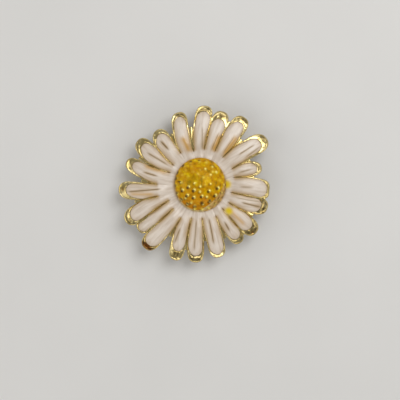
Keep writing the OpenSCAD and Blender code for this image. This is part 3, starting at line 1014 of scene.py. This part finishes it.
def makeGlaze(cutters):
    coat = addShape(bpy.ops.mesh.primitive_uv_sphere_add, segments=200, ring_count=120,
                    radius=ballR * mm, location=(0, 0, ballZ * mm))
    editAll(coat)
    for cut in cuts:  # only what lies inside both cuts stays
        x, y = cos(radians(cut["turn"])), sin(radians(cut["turn"]))
        bpy.ops.mesh.bisect(plane_co=(cut["r"] * x * mm, cut["r"] * y * mm, cut["z"] * mm),
                            plane_no=(-cut["climb"] * x, -cut["climb"] * y, 1), clear_inner=True)
        bpy.ops.mesh.select_all(action="SELECT")
    extrudeBy(0, 0, 0)
    objectMode()
    for vertex in coat.data.vertices:
        place = Vector((vertex.co.x / mm, vertex.co.y / mm, vertex.co.z / mm - ballZ))
        inside = min(insideCut(cut, place.x, place.y, place.z + ballZ) for cut in cuts)
        if vertex.select:  # the moved copy is the outer face
            thick = mix(glaze["edge"], glazeHeight(place.x, place.y),
                        sqrt(partOf(inside, 0, glaze["edgeRun"])))
        else:
            thick = glaze["gap"]
        place = place.normalized() * (ballR + thick)
        z = max(place.z + ballZ, dome["collarTop"] + glaze["gap"])
        vertex.co = pointAt(place.x, place.y, z)
    editAll(coat)
    bpy.ops.mesh.remove_doubles(threshold=0.001 * mm)
    pointOutwards(coat)
    combine(coat, cutters, "DIFFERENCE")
    coat.name = coat.data.name = "yellowEnamel"
    return coat


# The dome is painted dark as shade in its pits and on the beads' shaded sides, darker in patches
# along the covered collar, paler on its beads to stand in for their highlights, and warm and
# uneven in the bare crescent.
def domeTones(vertex):
    x, y, z = placeOf(vertex.co)
    # painted shade on the beads' shaded sides and in the dashes
    shade, redPart, bareTone = domeShadeAndTarnish["pitShade"] * pitShadeAt(x, y), domeShadeAndTarnish["red"], 0.0
    middle, most = domeShadeAndTarnish["patchy"]
    uneven = middle + most * mottle(x, y, domeShadeAndTarnish["patchScale"], 2.0)
    # the covered collar is painted darker
    if hypot(x, y) > dome["capR"] - domeShadeAndTarnish["collarIn"] and y > domeShadeAndTarnish["collarY"]:
        shade = max(shade, uneven)
    fromBead = min((Vector((x, y, z)) - spot).length for spot, proud in beads)
    if insideCut(cuts[1], x, y, z) < 0:
        shade = max(shade, domeShadeAndTarnish["bareDark"] * (uneven - domeShadeAndTarnish["bareFrom"]))
        redPart = domeShadeAndTarnish["bareRed"]
        middle, most = domeShadeAndTarnish["warm"]
        bareTone = middle + most * mottle(x, y, domeShadeAndTarnish["warmScale"], 6.0)
        bareTone *= partOf(fromBead, *domeShadeAndTarnish["warmFrom"])
    return {"hollow": clamp(shade), "redBrown": clamp(redPart * shade),
            "beadTone": 1 - partOf(fromBead, *domeShadeAndTarnish["beadEdge"]), "bareTone": bareTone}


def glazeTones(vertex):
    x, y, z = placeOf(vertex.co)
    tones = {"pitShade": pitShadeAt(x, y), "glint": 0.0, "olive": 0.0}
    tones["orange"] = partOf(-y, *glaze["orangeY"])
    for kind, patchX, patchY, wide, high, strength in patches:
        tones[kind] += strength * bell(hypot((x - patchX) / wide, (y - patchY) / high))
    # painted highlights on the coat over each bead, a little to the upper right
    for spot, proud in beads:
        bright = mix(glaze["glintLow"], 1, partOf(proud, *glaze["glintProud"]))
        bright *= mix(glaze["glintCovered"], 1, proud)
        away = hypot(x - spot.x - glaze["glintAway"], y - spot.y - glaze["glintAway"])
        tones["glint"] = max(tones["glint"], bright * bell(away / glaze["glintWide"]))
    return tones


goldDome, beadCutters = makeDome()
smoothBy(goldDome, 40)
paint(goldDome, domeTones)
yellowEnamel = makeGlaze(beadCutters)
smoothBy(yellowEnamel, 50)
paint(yellowEnamel, glazeTones)
for piece in (goldDome, yellowEnamel):  # seen from above they are narrower than high
    editAll(piece)
    bpy.ops.transform.resize(value=(domeNarrow, 1, 1), center_override=pointAt(0, 0, 0))
    objectMode()
    report(piece)

# The bar pin across the back: bar, hinge foot with its rivet, stem with its point, and catch foot.
barPin = {
    "x": 0.9, "y": -0.2, "top": 4.57, "long": 20.0, "wide": 5.0, "thick": 0.8, "barEdge": 0.2,
    "footLong": 3.6, "footFlare": 0.5, "flareHigh": 0.8, "footEdge": 0.3,
    "stemWide": 1.0, "stemZ": 1.9, "stemPast": 1.8, "pointLong": 2.2, "pointWide": 0.2,
    "rivetWide": 1.4, "rivetPast": 0.3, "rivetEdge": 0.25, "slotPlay": 0.3,
}


# The upright edges of a foot and those of its sole.
def isFootEdge(edge, spots):
    low, high = sorted(spot.z for spot in spots)
    return high - low > 0.1 or high < 0.1


def makeFoot(x):
    waist = barPin["top"] - barPin["thick"] / 2 - barPin["flareHigh"]
    foot = addShape(bpy.ops.mesh.primitive_cube_add, size=1, location=(x * mm, 0, waist / 2 * mm),
                    scale=(barPin["footLong"] * mm, barPin["wide"] * mm, waist * mm))
    chooseIn(foot, "FACE", lambda face, spots: min(s.z for s in spots) > waist - 0.01)
    extrudeBy(0, 0, barPin["flareHigh"] * mm)
    bpy.ops.transform.resize(value=(1 + 2 * barPin["footFlare"] / barPin["footLong"], 1, 1),
                             center_override=(x * mm, 0, 0))
    objectMode()
    bevelWhere(foot, isFootEdge, barPin["footEdge"] * mm)
    return foot


# A rod along one axis with the edges of its ends rounded.
def makeRod(middle, width, length, turned=(0, 0, 0), edgeRound=0):
    rod = addShape(bpy.ops.mesh.primitive_cylinder_add, vertices=48, radius=width / 2 * mm,
                   depth=length * mm, location=[v * mm for v in middle],
                   rotation=[radians(v) for v in turned])
    if edgeRound:
        sharp = {tuple(sorted(edge)) for face in rod.data.polygons if len(face.vertices) > 4
                 for edge in face.edge_keys}
        bevelWhere(rod, lambda edge, spots: tuple(sorted(edge.vertices)) in sharp, edgeRound * mm)
    return rod


def makeBarPin():
    half, stemZ, stemWide = barPin["long"] / 2, barPin["stemZ"], barPin["stemWide"]
    bar = makeRod((0, 0, barPin["top"] - barPin["thick"] / 2), barPin["wide"], barPin["thick"],
                  edgeRound=barPin["barEdge"])
    for side in (1, -1):  # the disc is pulled out into a bar
        chooseIn(bar, "VERT", lambda vertex, spots: side * spots[0].x > 0.01)
        bpy.ops.transform.translate(value=(side * half * mm, 0, 0))
        objectMode()
    hinge, catch = makeFoot(-half), makeFoot(half)
    slotHigh = stemWide + barPin["slotPlay"]
    slot = addShape(bpy.ops.mesh.primitive_cube_add, size=1,  # the catch is open at one side
                    scale=(2 * barPin["footLong"] * mm, barPin["wide"] * mm, slotHigh * mm),
                    location=(half * mm, barPin["wide"] / 2 * mm,
                              (stemZ - stemWide / 2 + slotHigh / 2) * mm))
    combine(catch, slot, "DIFFERENCE")
    stemLong = 2 * half + barPin["stemPast"]
    stem = makeRod((stemLong / 2 - half, 0, stemZ), stemWide, stemLong, (0, 90, 0))
    far = stemLong - half
    chooseIn(stem, "FACE", lambda face, spots: min(s.x for s in spots) > far - 0.01)
    extrudeBy(barPin["pointLong"] * mm, 0, 0)
    narrowed = barPin["pointWide"] / stemWide
    bpy.ops.transform.resize(value=(1, narrowed, narrowed),
                             center_override=((far + barPin["pointLong"]) * mm, 0, stemZ * mm))
    objectMode()
    rivetLong = barPin["wide"] + 2 * barPin["rivetPast"]
    rivet = makeRod((-half, 0, stemZ), barPin["rivetWide"], rivetLong, (90, 0, 0),
                    barPin["rivetEdge"])
    for part in (hinge, catch, stem, rivet):
        combine(bar, part)
    editAll(bar)
    bpy.ops.transform.translate(value=(barPin["x"] * mm, barPin["y"] * mm, 0))
    objectMode()
    bar.name = bar.data.name = "goldBarPin"
    return bar


goldBarPin = makeBarPin()
smoothBy(goldBarPin, 35)
report(goldBarPin)

# Finishes.
finishes = {
    "goldPale": (0.86, 0.71, 0.36), "goldDeep": (0.62, 0.47, 0.175), "bareGold": (0.84, 0.50, 0.11),
    "goldDark": (0.17, 0.105, 0.022), "goldRed": (0.20, 0.06, 0.01), "beadPale": (1.0, 0.84, 0.20),
    "goldRough": (0.14, 0.26), "pinRough": (0.22, 0.34), "beadRough": (0.28, 0.38),
    "goldMetal": 1.0, "beadMetal": 0.6, "speckleRange": 0.6, "speckleFrom": 0.7,
    "white": (0.80, 0.705, 0.61), "whiteLow": (0.67, 0.565, 0.46), "cloud": (0.94, 0.93, 0.92),
    "tan": (0.43, 0.255, 0.065), "veinBrown": (0.15, 0.088, 0.024),
    "bandOrange": (0.58, 0.32, 0.065), "stainYellow": (0.78, 0.56, 0.0),
    "yellowDark": (0.34, 0.19, 0.0), "yellowOrange": (0.60, 0.28, 0.0),
    "yellowMid": (0.60, 0.33, 0.0), "yellowLight": (0.78, 0.51, 0.0),
    "yellowGlint": (1.0, 0.84, 0.14), "pitShadeBrown": (0.06, 0.025, 0.001),
    "olive": (0.34, 0.27, 0.008), "deepOrange": (0.56, 0.20, 0.0),
    "patchStrength": 1.3, "glintStrength": 0.75, "pitShadeStrength": 0.95,
    "streakAlong": 0.22, "streakAcross": 1.5,
    "bandLine": (3.2, 1.0), "veinHalo": (3.6, 0.85), "veinLine": (1.5, 1.0),  # reach, strength
}
# Scale and detail of each finish's noise, and strength and distance in m where it is a bump.
grain = {
    "gold": (420, 4), "speckle": (900, 3), "goldBump": (1500, 3, 0.3, 0.00005),
    "white": (260, 3), "whiteBump": (500, 2, 0.2, 0.00006), "floor": (30, 4),
    "yellow": (820, 4), "patches": (520, 3), "yellowBump": (1100, 3, 0.5, 0.00012),
}
whiteGloss = {"Roughness": 0.35, "Coat Weight": 0.4, "Coat Roughness": 0.16}
yellowGloss = {
    "Metallic": 0.12, "Roughness": 0.34, "Specular IOR Level": 0.08,
    "Coat Weight": 0.05, "Coat Roughness": 0.06,
}


def newFinish(name):
    finish = bpy.data.materials.new(name)
    finish.use_nodes = True
    tree = finish.node_tree
    tree.nodes.clear()
    out = tree.nodes.new("ShaderNodeOutputMaterial")
    shader = tree.nodes.new("ShaderNodeBsdfPrincipled")
    tree.links.new(shader.outputs["BSDF"], out.inputs["Surface"])
    return finish, tree, shader


# Puts a number, a colour or what another node gives into a socket.
def feed(tree, value, socket):
    if hasattr(value, "links"):
        tree.links.new(value, socket)
    else:
        socket.default_value = (*value, 1) if isinstance(value, tuple) else value


def setGloss(shader, gloss):
    for name, value in gloss.items():
        shader.inputs[name].default_value = value


def valueOf(tree, name):
    layer = tree.nodes.new("ShaderNodeAttribute")
    layer.attribute_name = name
    return layer.outputs["Fac"]


# Cloudy noise over the piece, or over another place that it is given.
def noiseOf(tree, scale, detail, place=None):
    cloud = tree.nodes.new("ShaderNodeTexNoise")
    cloud.inputs["Scale"].default_value = scale
    cloud.inputs["Detail"].default_value = detail
    place = place or tree.nodes.new("ShaderNodeTexCoord").outputs["Object"]
    tree.links.new(place, cloud.inputs["Vector"])
    return cloud.outputs["Fac"]


def rampOf(tree, source, stops):
    ramp = tree.nodes.new("ShaderNodeValToRGB")
    tree.links.new(source, ramp.inputs["Fac"])
    points = ramp.color_ramp.elements
    while len(points) < len(stops):
        points.new(0.5)
    for point, (at, colour) in zip(points, stops):
        point.position = at
        point.color = (*colour, 1)
    return ramp.outputs["Color"]


def mixOf(tree, factor, first, second, way="MIX"):
    blend = tree.nodes.new("ShaderNodeMix")
    blend.data_type, blend.blend_type = "RGBA", way
    for name, value in (("Factor", factor), ("A", first), ("B", second)):
        feed(tree, value, blend.inputs[name])
    return blend.outputs["Result"]


def mathOf(tree, operation, *values):
    step = tree.nodes.new("ShaderNodeMath")
    step.operation = operation
    for value, socket in zip(values, step.inputs):
        feed(tree, value, socket)
    return step.outputs["Value"]


def timesOf(tree, first, second):
    return mathOf(tree, "MULTIPLY", first, second)


# Fine unevenness of the surface, its distance in m.
def roughen(tree, shader, scale, detail, strength, distance):
    bump = tree.nodes.new("ShaderNodeBump")
    bump.inputs["Strength"].default_value = strength
    bump.inputs["Distance"].default_value = distance
    tree.links.new(noiseOf(tree, scale, detail), bump.inputs["Height"])
    tree.links.new(bump.outputs["Normal"], shader.inputs["Normal"])


def makeGold(name, roughness, metal, shadedAndTarnished=True, beaded=False):
    finish, tree, shader = newFinish(name)
    base = rampOf(tree, noiseOf(tree, *grain["gold"]),
                  [(0.3, finishes["goldDeep"]), (0.7, finishes["goldPale"])])
    if beaded:
        # paler beads, standing in for their highlights, and the warm bare crescent
        base = mixOf(tree, valueOf(tree, "beadTone"), base, finishes["beadPale"])
        base = mixOf(tree, valueOf(tree, "bareTone"), base, finishes["bareGold"])
    # painted shade in hollows, down walls, under the back and on the beads' shaded sides, mixed
    # with red-brown tarnishing
    if shadedAndTarnished:
        speckle = timesOf(tree, noiseOf(tree, *grain["speckle"]), finishes["speckleRange"])
        speckle = mathOf(tree, "ADD", speckle, finishes["speckleFrom"])
        dull = mathOf(tree, "MINIMUM", timesOf(tree, valueOf(tree, "hollow"), speckle), 1.0)
        dark = mixOf(tree, valueOf(tree, "redBrown"), finishes["goldDark"], finishes["goldRed"])
        base = mixOf(tree, dull, base, dark)
    tree.links.new(base, shader.inputs["Base Color"])
    shader.inputs["Metallic"].default_value = metal
    smooth, rough = roughness
    uneven = rampOf(tree, noiseOf(tree, *grain["speckle"]),
                    [(0.3, (smooth,) * 3), (0.7, (rough,) * 3)])
    tree.links.new(uneven, shader.inputs["Roughness"])
    roughen(tree, shader, *grain["goldBump"])
    return finish


# 1 where a value is 0, fading to 0 where it is this far from it.
def fadeOf(tree, name, reach):
    away = mathOf(tree, "ABSOLUTE", valueOf(tree, name))
    away = mathOf(tree, "MINIMUM", mathOf(tree, "DIVIDE", away, reach), 1.0)
    return mathOf(tree, "SUBTRACT", 1.0, away)


def lineOf(tree, kind, reach, strength):
    line = timesOf(tree, fadeOf(tree, kind + "Away", reach), valueOf(tree, kind + "Strength"))
    return timesOf(tree, line, strength)


def makeWhite():
    finish, tree, shader = newFinish("whiteEnamelFinish")
    place = tree.nodes.new("ShaderNodeCombineXYZ")  # streaks run along each petal
    along = timesOf(tree, valueOf(tree, "along"), finishes["streakAlong"])
    across = timesOf(tree, valueOf(tree, "across"), finishes["streakAcross"])
    tree.links.new(along, place.inputs["X"])
    tree.links.new(across, place.inputs["Y"])
    streaks = rampOf(tree, noiseOf(tree, 1, 3, place.outputs["Vector"]),
                     [(0.36, finishes["whiteLow"]), (0.56, finishes["white"])])
    clouds = rampOf(tree, noiseOf(tree, *grain["white"]),
                    [(0.3, finishes["cloud"]), (0.7, (1, 1, 1))])
    colour = mixOf(tree, 1.0, streaks, clouds, "MULTIPLY")
    # tan towards the coat's edges, and painted shade round the foot of the dome
    edge = mathOf(tree, "POWER", fadeOf(tree, "fromEdge", enamel["brownWide"]), 2.0)
    colour = mixOf(tree, timesOf(tree, edge, valueOf(tree, "rootTone")), colour, finishes["tan"])
    lines = [("band", "bandLine", "bandOrange"), ("vein", "veinHalo", "tan"),
             ("vein", "veinLine", "veinBrown"), ("vein2", "veinHalo", "tan"),
             ("vein2", "veinLine", "veinBrown")]
    for kind, size, tint in lines:
        colour = mixOf(tree, lineOf(tree, kind, *finishes[size]), colour, finishes[tint])
    colour = mixOf(tree, valueOf(tree, "stain"), colour, finishes["stainYellow"])
    tree.links.new(colour, shader.inputs["Base Color"])
    setGloss(shader, whiteGloss)
    roughen(tree, shader, *grain["whiteBump"])
    return finish


def makeYellow():
    finish, tree, shader = newFinish("yellowEnamelFinish")
    colour = rampOf(tree, noiseOf(tree, *grain["yellow"]), [
        (0.35, finishes["yellowDark"]), (0.45, finishes["yellowOrange"]),
        (0.55, finishes["yellowMid"]), (0.64, finishes["yellowLight"])])
    cloudy = timesOf(tree, noiseOf(tree, *grain["patches"]), finishes["patchStrength"])
    # olive and orange patches, then painted highlights over the beads and painted shade beside them
    # and in the dashes
    layers = [("olive", cloudy, "olive"), ("orange", cloudy, "deepOrange"),
              ("glint", finishes["glintStrength"], "yellowGlint"),
              ("pitShade", finishes["pitShadeStrength"], "pitShadeBrown")]
    for name, strength, tint in layers:
        factor = timesOf(tree, valueOf(tree, name), strength)
        colour = mixOf(tree, factor, colour, finishes[tint])
    tree.links.new(colour, shader.inputs["Base Color"])
    setGloss(shader, yellowGloss)
    roughen(tree, shader, *grain["yellowBump"])
    return finish


def dress(piece, finish, nodeName):
    piece.data.materials.clear()
    piece.data.materials.append(finish)
    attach(piece, "root")
    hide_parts(nodeName)


castingGold = makeGold("castingGold", finishes["goldRough"], finishes["goldMetal"])
domeGold = makeGold("domeGold", finishes["beadRough"], finishes["beadMetal"], beaded=True)
pinGold = makeGold("pinGold", finishes["pinRough"], finishes["goldMetal"], shadedAndTarnished=False)
dress(goldCasting, castingGold, "flower_casting")
dress(whiteEnamel, makeWhite(), "white_enamel")
dress(goldDome, domeGold, "centre_dome")
dress(yellowEnamel, makeYellow(), "yellow_enamel")
dress(goldBarPin, pinGold, "pin_back")
print("finishes on")

# Floor, light and camera.
studio = {
    "floorSize": 900, "floorColour": (0.74, 0.73, 0.71), "floorDark": 0.97, "floorRough": 0.7,
    "airColour": (0.66, 0.66, 0.65), "airStrength": 0.42, "aim": (flowerX, flowerY, 6),
    "frameWidth": 101.27, "frameMiddle": (1.51, -4.05, 6.2), "lens": 85, "sensor": 36,
}
# Lamps: name, place, width and height in mm, watts, colour.
sideColour = (1.0, 0.98, 0.95)
lampRows = [
    ("keySoftbox", (150, 150, 330), (250, 250), 0.66, (1, 1, 1)),
    ("fillSoftbox", (-240, -120, 280), (220, 160), 0.10, (0.97, 0.98, 1.0)),
    ("leftSoftbox", (-330, 0, 150), (420, 80), 0.30, sideColour),
    ("rightSoftbox", (330, 0, 150), (420, 80), 0.16, sideColour),
    ("backSoftbox", (0, 330, 150), (420, 80), 0.17, sideColour),
    ("frontSoftbox", (0, -330, 150), (420, 80), 0.30, sideColour),
]
floor = addShape(bpy.ops.mesh.primitive_plane_add, size=studio["floorSize"] * mm)
floor.name = "floor"
floorFinish, tree, shader = newFinish("paleFloor")
darker = tuple(part * studio["floorDark"] for part in studio["floorColour"])
floorTone = rampOf(tree, noiseOf(tree, *grain["floor"]),
                   [(0.3, darker), (0.7, studio["floorColour"])])
tree.links.new(floorTone, shader.inputs["Base Color"])
shader.inputs["Roughness"].default_value = studio["floorRough"]
floor.data.materials.append(floorFinish)
floor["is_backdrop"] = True

world = bpy.data.worlds.new("studioAir")
world.use_nodes = True
air = world.node_tree.nodes["Background"]
air.inputs["Color"].default_value = (*studio["airColour"], 1)
air.inputs["Strength"].default_value = studio["airStrength"]
bpy.context.scene.world = world

for name, place, (wide, high), watts, colour in lampRows:
    light = bpy.data.lights.new(name, "AREA")
    light.shape = "RECTANGLE"
    light.size, light.size_y = wide * mm, high * mm
    light.energy = watts
    light.color = colour
    lamp = bpy.data.objects.new(name, light)
    bpy.context.scene.collection.objects.link(lamp)
    lamp.location = Vector(place) * mm
    lamp.rotation_mode = "QUATERNION"
    lamp.rotation_quaternion = (Vector(studio["aim"]) * mm - lamp.location).to_track_quat("-Z", "Y")

cameraData = bpy.data.cameras.new("overhead")
cameraData.lens, cameraData.sensor_width = studio["lens"], studio["sensor"]
cameraData.clip_start, cameraData.clip_end = 0.01, 10
camera = bpy.data.objects.new("overhead", cameraData)
bpy.context.scene.collection.objects.link(camera)
away = studio["frameWidth"] * studio["lens"] / studio["sensor"]
x, y, z = studio["frameMiddle"]
camera.location = Vector((x, y, z + away)) * mm
bpy.context.scene.camera = camera
bpy.context.scene.view_settings.view_transform = "Standard"
deselectAll()

low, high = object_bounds()
print("box of the visual", [round(v / mm, 2) for v in (*low, *high)])
